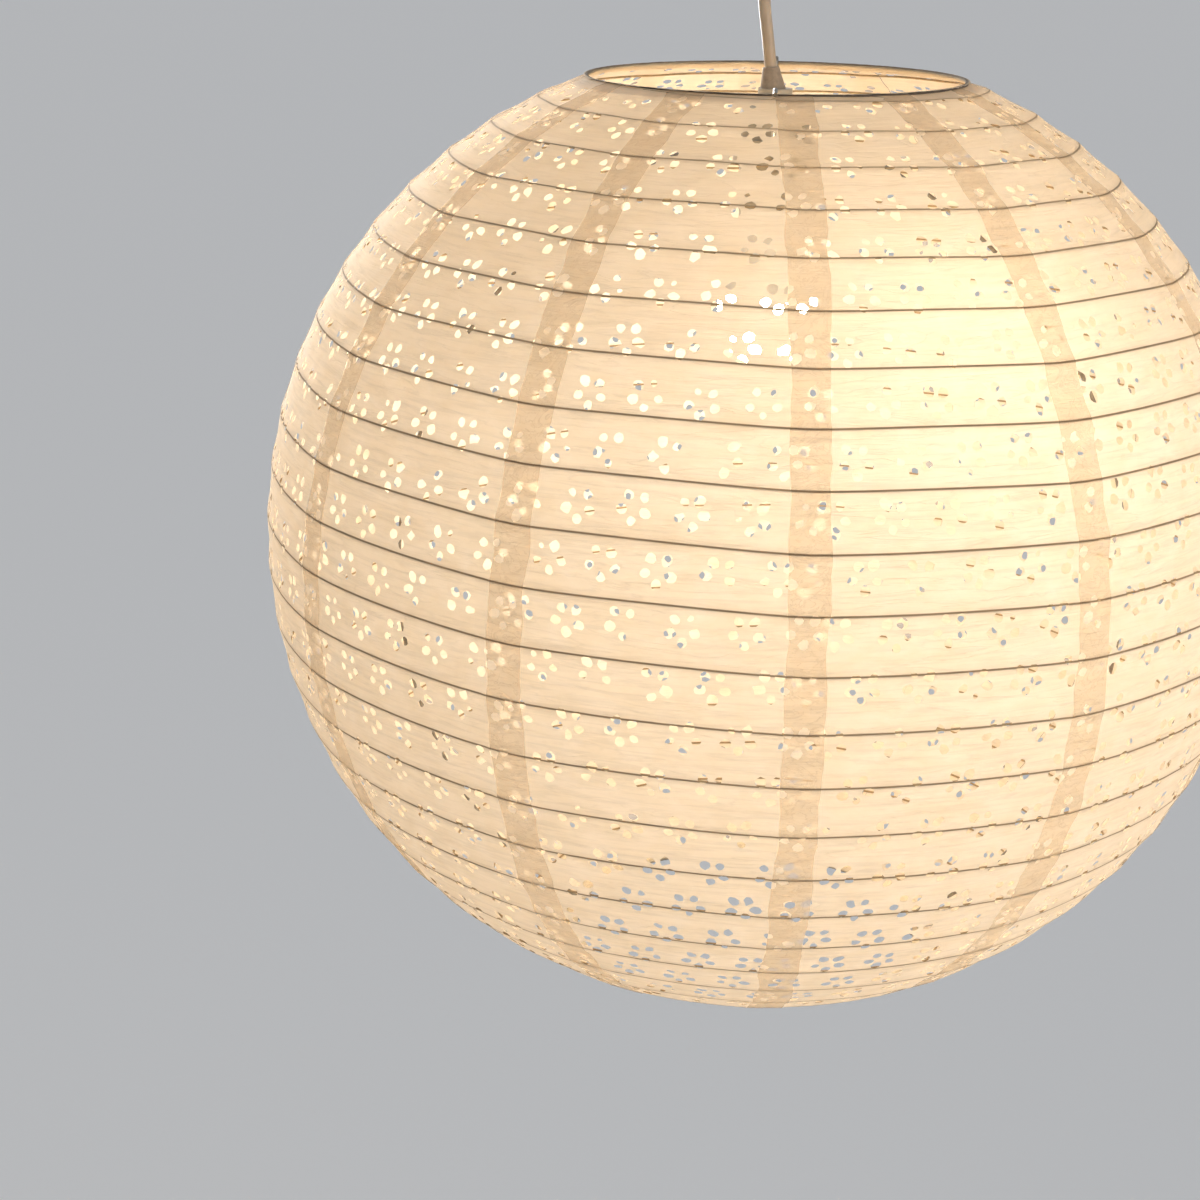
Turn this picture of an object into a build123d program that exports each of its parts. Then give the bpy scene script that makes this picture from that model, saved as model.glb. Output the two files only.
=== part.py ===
"""Hanging paper globe lantern: a ceiling canopy, a pendant cord, a lamp holder with its LED lamp, and a
folding paper shade on one helical rib wire, held open by a spring-wire spreader.

Millimetres, +Z up, origin at the middle of the bracket face that meets the ceiling. A bearing is an angle
about the Z axis, measured from the front (-Y) towards +X. Profiles are drawn as (radius, height).
"""

import os
from math import asin, cos, degrees, pi, radians, sin, sqrt, tan

from build123d import *

# ---------------------------------------------------------------- driving dimensions
SHADE_R = 300.0  # widest radius of the paper
MOUTH_R = 110.0  # radius of the paper at both mouths
SHADE_H = 540.0  # height between the two mouths
SHADE_DROP = 177.0  # from the ceiling to the top mouth
PAPER = 0.4
GORES = 12
SEAM_BEARING = 5.0  # bearing of the first seam

RIB_D = 1.2
RIB_TURNS = 22.8
RIB_START = -40.0  # bearing where the helix leaves the top ring
RIB_GAP = 0.3  # glue line between the rib wire and the paper

RING_D = 1.8  # wire of the two mouth rings
FRAME_D = 2.5  # wire of the spreader
HOOK_GAP = 0.4
HOOK_TIP = 5.0
HEM_TAIL = 10.0

CANOPY_R, CANOPY_H, CANOPY_WALL = 45.0, 44.0, 1.8
PLATE_L, PLATE_W, PLATE_T = 77.5, 18.0, 1.5
SLOT_PITCH, SLOT_L, SLOT_W = 44.0, 12.0, 5.0
EAR_H, CANOPY_SCREW_Z, CANOPY_SCREW_D = 16.0, -10.0, 3.1

CORD_D = 7.0
SWING_Z = -53.5  # height of the point that the pendant swings about
GRIP_END = -58.0
RELIEF_TOP, CAP_TOP = -172.0, -184.0
FLANGE_TOP, FLANGE_T, FLANGE_R = -212.0, 4.0, 24.5  # the holder's shoulder over the hub eye
HOLDER_R, HOLDER_END = 19.5, -258.0
HUB_R = 21.4

LAMP_TIP, LAMP_SHELL_TOP, LAMP_SHELL_END = -235.0, -241.0, -260.0
LAMP_R, LAMP_BOARD_Z, LAMP_END = 29.5, -301.0, -347.5

# Route of the cord from the swing point into the holder cap: it has taken a slight set, so it bows to -X.
CORD_ROUTE = [
    (0.0, 0.0, SWING_Z),
    (-0.8, 0.0, -80.0),
    (-7.2, 0.0, -106.0),
    (-9.0, 0.0, -132.0),
    (-4.6, 0.0, -160.0),
    (-0.9, 0.0, -190.0),
]

# ---------------------------------------------------------------- what follows from them
MID_Z = -SHADE_DROP - SHADE_H / 2
ARC_R = ((SHADE_H / 2) ** 2 + (SHADE_R - MOUTH_R) ** 2) / (2 * (SHADE_R - MOUTH_R))
ARC_X = SHADE_R - ARC_R  # the meridian is an arc about (ARC_X, MID_Z)
EDGE = degrees(asin(SHADE_H / 2 / ARC_R))  # latitude of the mouths on that arc
RING_INSET = PAPER + 0.1 + RING_D / 2
HOOK_R = RING_D / 2 + 0.1 + PAPER + HOOK_GAP + FRAME_D / 2
HUB_Z = FLANGE_TOP - FLANGE_T - 0.05 - FRAME_D / 2
LOCK_TOP = HUB_Z - FRAME_D / 2 - 0.05


def upright(bearing):
    """The plane through the Z axis whose local X points out along a bearing and whose local Y is up."""
    a = radians(bearing - 90)
    return Plane(origin=(0, 0, 0), x_dir=(cos(a), sin(a), 0), z_dir=(sin(a), -cos(a), 0))


def on_meridian(latitude, inset=0.0):
    """(radius, height) of a point of the paper's outer face, or of one that lies inset within it."""
    a = radians(latitude)
    return ARC_X + (ARC_R - inset) * cos(a), MID_Z + (ARC_R - inset) * sin(a)


def finish(builder, name):
    """Name a finished piece and write it."""
    builder.part.label = name
    export_step(builder.part, f"parts/{name}.step")


def turn(*profile):
    """Revolve a closed polygon of (radius, height) points about the Z axis into the current part."""
    with BuildSketch(upright(0)) as outline:
        with BuildLine():
            Polyline(*profile, close=True)
        make_face()
    revolve(outline.sketch, axis=Axis.Z)


def ridges(radius, depth, top, bottom, pitch):
    """Outline points of a thread drawn as plain ridges, from its top down."""
    count = int((top - bottom) / pitch)
    points = []
    for i in range(count):
        z = top - i * pitch
        points += [(radius - depth, z), (radius, z - 0.3 * pitch), (radius, z - 0.6 * pitch)]
    return points + [(radius - depth, top - count * pitch), (radius - depth, bottom)]


def bend_radii(points):
    """The largest fillet for each corner of a route: 0.45 of the shorter run over tan(half the turn)."""
    vectors = [Vector(*p) for p in points]
    runs = [b - a for a, b in zip(vectors, vectors[1:])]
    return [
        0.45 * min(a.length, b.length) / tan(radians(a.get_angle(b)) / 2) for a, b in zip(runs, runs[1:])
    ]


def sweep_round(path, diameter):
    """Sweep a round section along a path into the current part."""
    line = path.wire()
    with BuildSketch(Plane(origin=line @ 0, z_dir=line % 0)) as section:
        Circle(diameter / 2)
    sweep(section.sketch, path=line)


os.makedirs("parts", exist_ok=True)

# ---------------------------------------------------------------- ceiling fitting
# Steel strip with two slots for the ceiling screws, a hole for the supply leads and two turned-down ears.
EAR_X = PLATE_L / 2 - PLATE_T / 2
with BuildPart() as ceiling_bracket:
    with Locations((0, 0, -PLATE_T / 2)):
        Box(PLATE_L, PLATE_W, PLATE_T)
    with Locations((-EAR_X, 0, -EAR_H / 2), (EAR_X, 0, -EAR_H / 2)):
        Box(PLATE_T, 12, EAR_H)
    fillet(ceiling_bracket.edges().filter_by(Axis.Z).group_by(SortBy.LENGTH)[0], 0.7)
    with BuildSketch(Plane.XY):
        with GridLocations(SLOT_PITCH, 0, 2, 1):
            SlotOverall(SLOT_L, SLOT_W)
        with Locations((-10.5, 0)):
            Circle(4)
    extrude(amount=-PLATE_T, mode=Mode.SUBTRACT)
    with BuildSketch(Plane.YZ.offset(-PLATE_L / 2)):
        with Locations((0, CANOPY_SCREW_Z)):
            Circle(CANOPY_SCREW_D / 2 + 0.05)
    extrude(amount=PLATE_L, mode=Mode.SUBTRACT)
finish(ceiling_bracket, "ceiling_bracket")

# Round cup with a rolled lower edge, a hole for the cord grip and two holes for its side screws.
with BuildPart() as canopy:
    Cylinder(CANOPY_R, CANOPY_H, align=(Align.CENTER, Align.CENTER, Align.MAX))
    fillet(canopy.edges().group_by(Axis.Z)[0], 14)
    offset(amount=-CANOPY_WALL, openings=canopy.faces().sort_by(Axis.Z)[-1])
    with BuildSketch(Plane.XY.offset(-CANOPY_H)):
        Circle(8.1)
    extrude(amount=2 * CANOPY_WALL, mode=Mode.SUBTRACT)
    with BuildSketch(Plane.YZ.offset(-CANOPY_R)):
        with Locations((0, CANOPY_SCREW_Z)):
            Circle(2.0)
    extrude(amount=2 * CANOPY_R, mode=Mode.SUBTRACT)
finish(canopy, "canopy")

with BuildPart() as canopy_screws:
    for side in (-1, 1):
        with BuildSketch(Plane.YZ.offset(side * (CANOPY_R + 2.0))):
            with Locations((0, CANOPY_SCREW_Z)):
                Circle(3.4)
        extrude(amount=-side * 2.0)
        with BuildSketch(Plane.YZ.offset(side * CANOPY_R)):
            with Locations((0, CANOPY_SCREW_Z)):
                Circle(CANOPY_SCREW_D / 2)
        extrude(amount=-side * 10.0)
    fillet(canopy_screws.edges().filter_by(GeomType.CIRCLE).group_by(Axis.X)[0], 0.9)
    fillet(canopy_screws.edges().filter_by(GeomType.CIRCLE).group_by(Axis.X)[-1], 0.9)
finish(canopy_screws, "canopy_screws")

# Cord grip: a threaded neck up through the canopy, a flanged barrel below it, and a bell mouth that lets
# the cord swing without a sharp edge. A nut holds it and a set screw pinches the cord.
NECK_TOP = -34.0
with BuildPart() as cord_grip:
    turn(
        (CORD_D / 2 + 0.1, NECK_TOP),
        (7.9, NECK_TOP),
        (7.9, -CANOPY_H),
        (11.0, -CANOPY_H),
        (11.0, -CANOPY_H - 2.5),
        (9.2, -CANOPY_H - 3.5),
        (9.2, GRIP_END + 1.2),
        (8.0, GRIP_END),
        (6.6, GRIP_END),
        (4.6, GRIP_END + 2.6),
        (3.85, SWING_Z + 1.5),
        (CORD_D / 2 + 0.1, SWING_Z + 3.9),
    )
    with BuildSketch(Plane.XZ):
        with Locations((0, -48.5)):
            Circle(1.55)
    extrude(amount=-14, mode=Mode.SUBTRACT)
finish(cord_grip, "cord_grip")

with BuildPart() as grip_nut:
    with BuildSketch(Plane.XY.offset(-CANOPY_H + CANOPY_WALL)):
        RegularPolygon(12, 6, major_radius=False)
        Circle(7.95, mode=Mode.SUBTRACT)
    extrude(amount=4.5)
finish(grip_nut, "grip_nut")

with BuildPart() as grip_screw:
    with BuildSketch(Plane.XZ.offset(-CORD_D / 2 - 0.02)):
        with Locations((0, -48.5)):
            Circle(1.5)
    extrude(amount=-7.5)
finish(grip_screw, "grip_screw")

with BuildPart() as cord_tail:
    with Locations((0, 0, SWING_Z + CORD_D / 2 + 0.1)):
        Cylinder(CORD_D / 2, 26, align=(Align.CENTER, Align.CENTER, Align.MIN))
finish(cord_tail, "cord_tail")
TAIL_TOP = SWING_Z + CORD_D / 2 + 0.1 + 26

# Three-way terminal block under the bracket, its screws, and the three leads that rise into it.
BLOCK_L, BLOCK_W, BLOCK_H, BLOCK_PITCH = 30.0, 14.0, 14.0, 9.0
BLOCK_END = -PLATE_T - BLOCK_H
with BuildPart() as terminal_block:
    with Locations((0, 0, -PLATE_T - BLOCK_H / 2)):
        Box(BLOCK_L, BLOCK_W, BLOCK_H)
    fillet(terminal_block.edges().filter_by(Axis.Z), 1.5)
    with BuildSketch(Plane.XY.offset(BLOCK_END)):
        with GridLocations(BLOCK_PITCH, 0, 3, 1):
            Circle(1.7)
    extrude(amount=8, mode=Mode.SUBTRACT)
    with BuildSketch(Plane.XZ.offset(BLOCK_W / 2)):
        with Locations((0, -10)):
            with GridLocations(BLOCK_PITCH, 0, 3, 1):
                Circle(2.1)
    extrude(amount=-5, mode=Mode.SUBTRACT)
finish(terminal_block, "terminal_block")

with BuildPart() as terminal_screws:
    with BuildSketch(Plane.XZ.offset(BLOCK_W / 2 - 1.0)):
        with Locations((0, -10)):
            with GridLocations(BLOCK_PITCH, 0, 3, 1):
                Circle(2.0)
                Rectangle(3.2, 0.7, mode=Mode.SUBTRACT)
    extrude(amount=-1.0)
    with BuildSketch(Plane.XZ.offset(BLOCK_W / 2 - 2.0)):
        with Locations((0, -10)):
            with GridLocations(BLOCK_PITCH, 0, 3, 1):
                Circle(2.0)
    extrude(amount=-2.0)
finish(terminal_screws, "terminal_screws")

for place, name in ((-1, "lead_live"), (0, "lead_neutral"), (1, "lead_earth")):
    start, end = place * 1.95, place * BLOCK_PITCH
    with BuildPart() as lead:
        with BuildLine(Plane.XZ) as path:
            if place:
                FilletPolyline(
                    (start, TAIL_TOP), (start, TAIL_TOP + 2.2), (end, BLOCK_END - 1.8), (end, BLOCK_END + 5),
                    radius=1.3,
                )
            else:
                Line((start, TAIL_TOP), (end, BLOCK_END + 5))
        sweep_round(path, 1.8)
    finish(lead, name)

# ---------------------------------------------------------------- pendant cord and its strain relief
radii = bend_radii(CORD_ROUTE)
print("pendant cord bend radii", [round(r) for r in radii])
with BuildPart() as pendant_cord:
    with BuildLine() as path:
        FilletPolyline(*CORD_ROUTE, radius=radii)
    sweep_round(path, CORD_D)
    print(
        "pendant cord length", round(path.wire().length, 1),
        "volume", round(pendant_cord.part.volume), "of", round(path.wire().length * pi * CORD_D**2 / 4),
    )
    with Locations(CORD_ROUTE[0]):
        Sphere(CORD_D / 2)
finish(pendant_cord, "pendant_cord")

# A tapered sleeve on the cord's own line, cut level where it stands on the holder cap.
last_run = Vector(*CORD_ROUTE[-1]) - Vector(*CORD_ROUTE[-2])
relief_start = Vector(*CORD_ROUTE[-1]) - last_run * ((RELIEF_TOP - CORD_ROUTE[-1][2]) / -last_run.Z)
with BuildPart() as strain_relief:
    with Locations(Plane(origin=relief_start, z_dir=last_run)):
        Cone(4.7, 7.8, 14, align=(Align.CENTER, Align.CENTER, Align.MIN))
        Cylinder(CORD_D / 2 + 0.1, 60, mode=Mode.SUBTRACT)
    split(bisect_by=Plane.XY.offset(CAP_TOP), keep=Keep.TOP)
    fillet(strain_relief.edges().group_by(Axis.Z)[-1], 0.35)
finish(strain_relief, "strain_relief")

# ---------------------------------------------------------------- lamp holder
CAP_R, CAP_WALL = 20.5, 1.8
with BuildPart() as holder_cap:
    with BuildSketch(upright(0)):
        with BuildLine():
            Polyline((6.2, CAP_TOP - 4), (6.2, CAP_TOP), (10.0, CAP_TOP), (10.0, CAP_TOP - 4.5))
            TangentArc((10.0, CAP_TOP - 4.5), (CAP_R, CAP_TOP - 21), tangent=(1, -0.25))
            Polyline(
                (CAP_R, CAP_TOP - 21), (CAP_R, FLANGE_TOP), (CAP_R - CAP_WALL, FLANGE_TOP),
                (CAP_R - CAP_WALL, CAP_TOP - 20), (16.8, CAP_TOP - 12), (11.5, CAP_TOP - 7.2), (6.2, CAP_TOP - 4),
            )
        make_face()
    revolve(axis=Axis.Z)
finish(holder_cap, "holder_cap")

# Skirted body: the shoulder that the hub eye rests under, then a threaded skirt.
SKIRT_IN = 17.2
with BuildPart() as holder_body:
    turn(
        (6.0, FLANGE_TOP), (FLANGE_R, FLANGE_TOP), (FLANGE_R, FLANGE_TOP - FLANGE_T),
        *ridges(HOLDER_R, 0.6, FLANGE_TOP - FLANGE_T, HOLDER_END + 2, 3.2),
        (HOLDER_R - 0.6, HOLDER_END), (SKIRT_IN, HOLDER_END), (SKIRT_IN, FLANGE_TOP - FLANGE_T),
        (6.0, FLANGE_TOP - FLANGE_T),
    )
finish(holder_body, "holder_body")

INSERT_TOP, INSERT_END = FLANGE_TOP - FLANGE_T, -228.0
with BuildPart() as contact_insert:
    turn((2.0, INSERT_TOP), (16.9, INSERT_TOP), (16.9, INSERT_END), (2.0, INSERT_END))
    fillet(contact_insert.edges().group_by(Axis.Z)[0], 0.8)
finish(contact_insert, "contact_insert")

with BuildPart() as thread_shell:
    turn(
        (9.0, INSERT_END), (14.2, INSERT_END), (14.2, INSERT_END - 24), (13.6, INSERT_END - 24),
        (13.6, INSERT_END - 0.6), (9.0, INSERT_END - 0.6),
    )
finish(thread_shell, "thread_shell")

with BuildPart() as centre_contact:
    with BuildSketch(Plane.XZ):
        with BuildLine():
            Polyline(
                (-7.5, INSERT_END), (-3.0, INSERT_END), (2.0, LAMP_TIP + 0.8), (6.0, LAMP_TIP + 2.6),
                (6.0, LAMP_TIP + 2.1), (2.0, LAMP_TIP + 0.3), (-3.3, INSERT_END - 0.5), (-7.5, INSERT_END - 0.5),
                close=True,
            )
        make_face()
    extrude(amount=2.2, both=True)
finish(centre_contact, "centre_contact")

# Shade ring: screws up the skirt and clamps the hub eye against the shoulder.
with BuildPart() as shade_ring:
    turn(
        (HOLDER_R + 0.3, LOCK_TOP), (29.0, LOCK_TOP), (29.0, LOCK_TOP - 2.2), (23.5, LOCK_TOP - 3.0),
        (23.5, LOCK_TOP - 8.0), (HOLDER_R + 0.3, LOCK_TOP - 8.0),
    )
    with BuildSketch(Plane.XY.offset(LOCK_TOP)):
        with PolarLocations(29.0, 16):
            Circle(1.2)
    extrude(amount=-2.2, mode=Mode.SUBTRACT)
finish(shade_ring, "shade_ring")

# ---------------------------------------------------------------- LED lamp
with BuildPart() as lamp_tip:
    turn((0, LAMP_TIP), (3.6, LAMP_TIP), (4.6, LAMP_TIP - 0.9), (4.6, LAMP_TIP - 2.4), (0, LAMP_TIP - 2.4))
finish(lamp_tip, "lamp_tip")

with BuildPart() as lamp_insulator:
    turn(
        (0, LAMP_TIP - 2.4), (5.4, LAMP_TIP - 2.4), (10.6, LAMP_SHELL_TOP), (10.6, LAMP_SHELL_TOP - 2),
        (0, LAMP_SHELL_TOP - 2),
    )
finish(lamp_insulator, "lamp_insulator")

with BuildPart() as lamp_shell:
    turn(
        (10.7, LAMP_SHELL_TOP), (12.4, LAMP_SHELL_TOP),
        *ridges(13.2, 0.8, LAMP_SHELL_TOP - 0.6, LAMP_SHELL_END + 1, 3.6),
        (13.2, LAMP_SHELL_END), (11.6, LAMP_SHELL_END), (11.6, LAMP_SHELL_TOP - 2.1), (10.7, LAMP_SHELL_TOP - 2.1),
    )
finish(lamp_shell, "lamp_shell")

with BuildPart() as lamp_housing:
    with BuildSketch(upright(0)):
        with BuildLine():
            Polyline((11.4, LAMP_SHELL_END + 6), (11.4, LAMP_SHELL_END), (14.4, LAMP_SHELL_END), (14.4, -263))
            TangentArc((14.4, -263), (LAMP_R, LAMP_BOARD_Z), tangent=(0.15, -1))
            Polyline((LAMP_R, LAMP_BOARD_Z), (LAMP_R - 1.8, LAMP_BOARD_Z))
            TangentArc((12.6, -263), (LAMP_R - 1.8, LAMP_BOARD_Z), tangent=(0.15, -1))
            Polyline((12.6, -263), (9.8, LAMP_SHELL_END), (9.8, LAMP_SHELL_END + 6), (11.4, LAMP_SHELL_END + 6))
        make_face()
    revolve(axis=Axis.Z)
finish(lamp_housing, "lamp_housing")

with BuildPart() as driver_board:
    with Locations((0, 0, -279)):
        Box(17, 1.4, 32)
        with Locations((-3, 2.7, -4), (3.5, 2.2, 4)):
            Box(5, 4, 8)
finish(driver_board, "driver_board")

BOARD_T = 1.6
with BuildPart() as led_board:
    with Locations((0, 0, LAMP_BOARD_Z - BOARD_T)):
        Cylinder(26.5, BOARD_T, align=(Align.CENTER, Align.CENTER, Align.MIN))
    with Locations((0, 0, LAMP_BOARD_Z)):
        with GridLocations(8, 0, 2, 1):
            Cylinder(1.2, 10, mode=Mode.SUBTRACT)
finish(led_board, "led_board")

with BuildPart() as led_chips:
    with Locations((0, 0, LAMP_BOARD_Z - BOARD_T)):
        with PolarLocations(17, 12):
            Box(3.5, 2.8, 0.8, align=(Align.CENTER, Align.CENTER, Align.MAX))
finish(led_chips, "led_chips")

GLOBE_T = 1.3
DOME_Z = LAMP_END + LAMP_R
with BuildPart() as lamp_globe:
    with BuildSketch(upright(0)):
        with BuildLine():
            Line((LAMP_R, LAMP_BOARD_Z), (LAMP_R, DOME_Z))
            CenterArc((0, DOME_Z), LAMP_R, -90, 90)
            Line((0, LAMP_END), (0, LAMP_END + GLOBE_T))
            CenterArc((0, DOME_Z), LAMP_R - GLOBE_T, -90, 90)
            Line((LAMP_R - GLOBE_T, DOME_Z), (LAMP_R - GLOBE_T, LAMP_BOARD_Z))
            Line((LAMP_R - GLOBE_T, LAMP_BOARD_Z), (LAMP_R, LAMP_BOARD_Z))
        make_face()
    revolve(axis=Axis.Z)
finish(lamp_globe, "lamp_globe")

# ---------------------------------------------------------------- mouth rings and paper hems
RING_R, RING_TOP = on_meridian(EDGE, RING_INSET)
RING_BOTTOM = 2 * MID_Z - RING_TOP


def mouth_ring(height):
    """A welded wire ring under the edge of the paper."""
    with BuildSketch(upright(0)) as wire:
        with Locations((RING_R, height)):
            Circle(RING_D / 2)
    revolve(wire.sketch, axis=Axis.Z)


def hem(height, up):
    """Paper folded round a ring and glued back under the gores: an arc, then a straight tail."""
    inner, outer = RING_D / 2 + 0.1, RING_D / 2 + 0.1 + PAPER
    a = radians(EDGE)
    out, along = (cos(a), up * sin(a)), (sin(a), -up * cos(a))

    def at(normal, tangent):
        return RING_R + normal * out[0] + tangent * along[0], height + normal * out[1] + tangent * along[1]

    with BuildSketch(upright(0)) as fold:
        with BuildLine():
            CenterArc((RING_R, height), outer, up * EDGE, up * 180)
            Polyline(at(-outer, 0), at(-outer, HEM_TAIL), at(-inner, HEM_TAIL), at(-inner, 0))
            CenterArc((RING_R, height), inner, up * EDGE, up * 180)
            Line(at(inner, 0), at(outer, 0))
        make_face()
    revolve(fold.sketch, axis=Axis.Z)


with BuildPart() as top_ring:
    mouth_ring(RING_TOP)
finish(top_ring, "top_ring")

with BuildPart() as bottom_ring:
    mouth_ring(RING_BOTTOM)
finish(bottom_ring, "bottom_ring")

with BuildPart() as top_hem:
    hem(RING_TOP, 1)
finish(top_hem, "top_hem")

with BuildPart() as bottom_hem:
    hem(RING_BOTTOM, -1)
finish(bottom_hem, "bottom_hem")

# ---------------------------------------------------------------- spring-wire spreader
ARM_R = RING_R - HOOK_R


def hook(height, up):
    """The end of a spreader wire: up the inside of a ring, round over the paper, and a short tip along it."""
    a = radians(EDGE)
    top = (RING_R + HOOK_R * cos(a), height + up * HOOK_R * sin(a))
    CenterArc((RING_R, height), HOOK_R, 180, -up * (180 - EDGE))
    Line(top, (top[0] + HOOK_TIP * sin(a), top[1] - up * HOOK_TIP * cos(a)))


# Front and back arms rise from the hub eye and hook over the top ring. The eye and both arms are welded.
ARM_ROUTE = [
    (HUB_R, HUB_Z), (54.0, HUB_Z), (82.0, HUB_Z + 10.0), (100.0, RING_TOP - 18.0),
    (ARM_R, RING_TOP - 9.0), (ARM_R, RING_TOP),
]
with BuildPart() as spreader_top:
    with BuildSketch(upright(0)):
        with Locations((HUB_R, HUB_Z)):
            Circle(FRAME_D / 2)
    revolve(axis=Axis.Z)
    for bearing in (0, 180):
        with BuildLine(upright(bearing)) as path:
            FilletPolyline(*ARM_ROUTE, radius=bend_radii([(r, z, 0) for r, z in ARM_ROUTE]))
            hook(RING_TOP, 1)
        sweep_round(path, FRAME_D)
finish(spreader_top, "spreader_top")

# Two bowed legs push the bottom ring down and so stretch the paper.
LEG_ROUTE = [
    (HUB_R + FRAME_D / 2 + 0.1, HUB_Z), (47.0, HUB_Z), (90.0, -241.0), (136.0, -277.0), (178.0, -326.0),
    (212.0, -394.0), (227.0, -474.0), (218.0, -560.0), (184.0, -638.0), (138.0, -688.0),
    (ARM_R, RING_BOTTOM + 13.0), (ARM_R, RING_BOTTOM),
]
for bearing, name in ((-90, "leg_left"), (90, "leg_right")):
    with BuildPart() as leg:
        with BuildLine(upright(bearing)) as path:
            FilletPolyline(*LEG_ROUTE, radius=bend_radii([(r, z, 0) for r, z in LEG_ROUTE]))
            hook(RING_BOTTOM, -1)
        sweep_round(path, FRAME_D)
    finish(leg, name)

# ---------------------------------------------------------------- rib wire
# One wire winds down inside the paper at an even spacing. Each quarter turn is a pair of arcs that leaves
# and meets its neighbours without a kink. The round wire is drawn with eight flats, which keeps the mesh of
# its 33 m light.
RIB_INSET = PAPER + RIB_GAP + RIB_D / 2
RIB_EDGE = EDGE - degrees(3.0 / ARC_R)
QUARTERS = round(4 * RIB_TURNS)


def rib_point(turns):
    r, z = on_meridian(RIB_EDGE * (1 - 2 * turns / RIB_TURNS), RIB_INSET)
    a = radians(RIB_START - 90 + 360 * turns)
    return Vector(r * cos(a), r * sin(a), z)


def rib_direction(turns, step=1e-5):
    return (rib_point(turns + step) - rib_point(turns - step)).normalized()


def arc_from(start, direction, end):
    """The arc that leaves start along direction and passes through end."""
    chord = end - start
    unit = chord.normalized()
    half = radians(unit.get_angle(direction))
    bulge = (direction - unit * unit.dot(direction)).normalized()
    ThreePointArc(start, (start + end) * 0.5 + bulge * (chord.length / 2 * tan(half / 2)), end)


def arc_pair(start, leaving, end, arriving):
    """Two arcs that meet smoothly: the joint is set so that both have the same tangent length."""
    chord, both = end - start, leaving + arriving
    a, b, c = 2 * (leaving.dot(arriving) - 1), -2 * chord.dot(both), chord.dot(chord)
    reach = max((-b + sqrt(b * b - 4 * a * c)) / (2 * a), (-b - sqrt(b * b - 4 * a * c)) / (2 * a))
    joint = (start + leaving * reach + end - arriving * reach) * 0.5
    arc_from(start, leaving, joint)
    turned = joint - start
    tangent = (turned * (2 * turned.dot(leaving) / turned.dot(turned)) - leaving).normalized()
    arc_from(joint, tangent, end)


with BuildPart() as rib_wire:
    with BuildLine() as path:
        for quarter in range(QUARTERS):
            t0, t1 = (RIB_TURNS * (quarter + i) / QUARTERS for i in (0, 1))
            arc_pair(rib_point(t0), rib_direction(t0), rib_point(t1), rib_direction(t1))
    wire = path.wire()
    with BuildSketch(Plane(origin=wire @ 0, z_dir=wire % 0)) as section:
        RegularPolygon(RIB_D / 2, 8)
    sweep(section.sketch, path=wire)
    print("rib wire length", round(path.wire().length), "volume", round(rib_wire.part.volume),
          "of", round(path.wire().length * pi * RIB_D**2 / 4))
finish(rib_wire, "rib_wire")

# ---------------------------------------------------------------- paper gores
for number in range(GORES):
    with BuildPart() as gore:
        with BuildSketch(upright(SEAM_BEARING + number * 360 / GORES)):
            with BuildLine():
                CenterArc((ARC_X, MID_Z), ARC_R, -EDGE, 2 * EDGE)
                Line(on_meridian(EDGE), on_meridian(EDGE, PAPER))
                CenterArc((ARC_X, MID_Z), ARC_R - PAPER, -EDGE, 2 * EDGE)
                Line(on_meridian(-EDGE, PAPER), on_meridian(-EDGE))
            make_face()
        revolve(axis=Axis.Z, revolution_arc=360 / GORES)
    finish(gore, f"gore_{number + 1:02d}")

print("ring radius", round(RING_R, 2), "heights", round(RING_TOP, 2), round(RING_BOTTOM, 2), "edge", round(EDGE, 2))
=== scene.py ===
"""Hanging paper globe lantern: a ceiling canopy, a pendant cord, a lamp holder with its LED lamp, and a
folding shade of pierced paper glued on one wound rib wire. Metres, +Z up, from the ceiling face."""

import math
import random

import bpy
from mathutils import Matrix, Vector, geometry, kdtree, noise


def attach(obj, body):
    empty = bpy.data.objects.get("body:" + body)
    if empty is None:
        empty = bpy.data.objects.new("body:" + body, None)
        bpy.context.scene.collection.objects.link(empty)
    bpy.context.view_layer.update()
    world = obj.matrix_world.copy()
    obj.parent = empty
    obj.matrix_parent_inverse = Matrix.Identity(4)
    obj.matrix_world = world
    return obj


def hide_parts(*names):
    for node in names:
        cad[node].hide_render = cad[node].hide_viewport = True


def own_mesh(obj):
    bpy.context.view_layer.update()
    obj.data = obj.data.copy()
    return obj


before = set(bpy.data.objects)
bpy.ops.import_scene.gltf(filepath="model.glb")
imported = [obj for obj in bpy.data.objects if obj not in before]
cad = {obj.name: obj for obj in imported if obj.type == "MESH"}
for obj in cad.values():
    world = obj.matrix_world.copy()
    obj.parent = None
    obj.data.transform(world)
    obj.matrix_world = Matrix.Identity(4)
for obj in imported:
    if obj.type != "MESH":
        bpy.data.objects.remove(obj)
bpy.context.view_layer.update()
random.seed(41)

# ---------------------------------------------------------------- camera and stage
# An eye just under the ceiling and 1.35 m in front looks down on the shade. A wide pale floor lies below it,
# and the light of the room is soft: a pale sky, a panel in front on the right, and a brighter one behind on
# the left, as from a window.
bpy.ops.object.select_all(action="DESELECT")
bpy.ops.object.camera_add(
    location=(0, -1.3505, -0.0634), rotation=[math.radians(a) for a in (72.15, -0.813, 4.39)]
)
camera = bpy.context.object
camera.name = "front camera"
camera.data.sensor_width = 36
camera.data.lens = 68.3
camera.data.clip_end = 200
bpy.context.scene.camera = camera
bpy.context.scene.view_settings.view_transform = "Standard"

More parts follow.
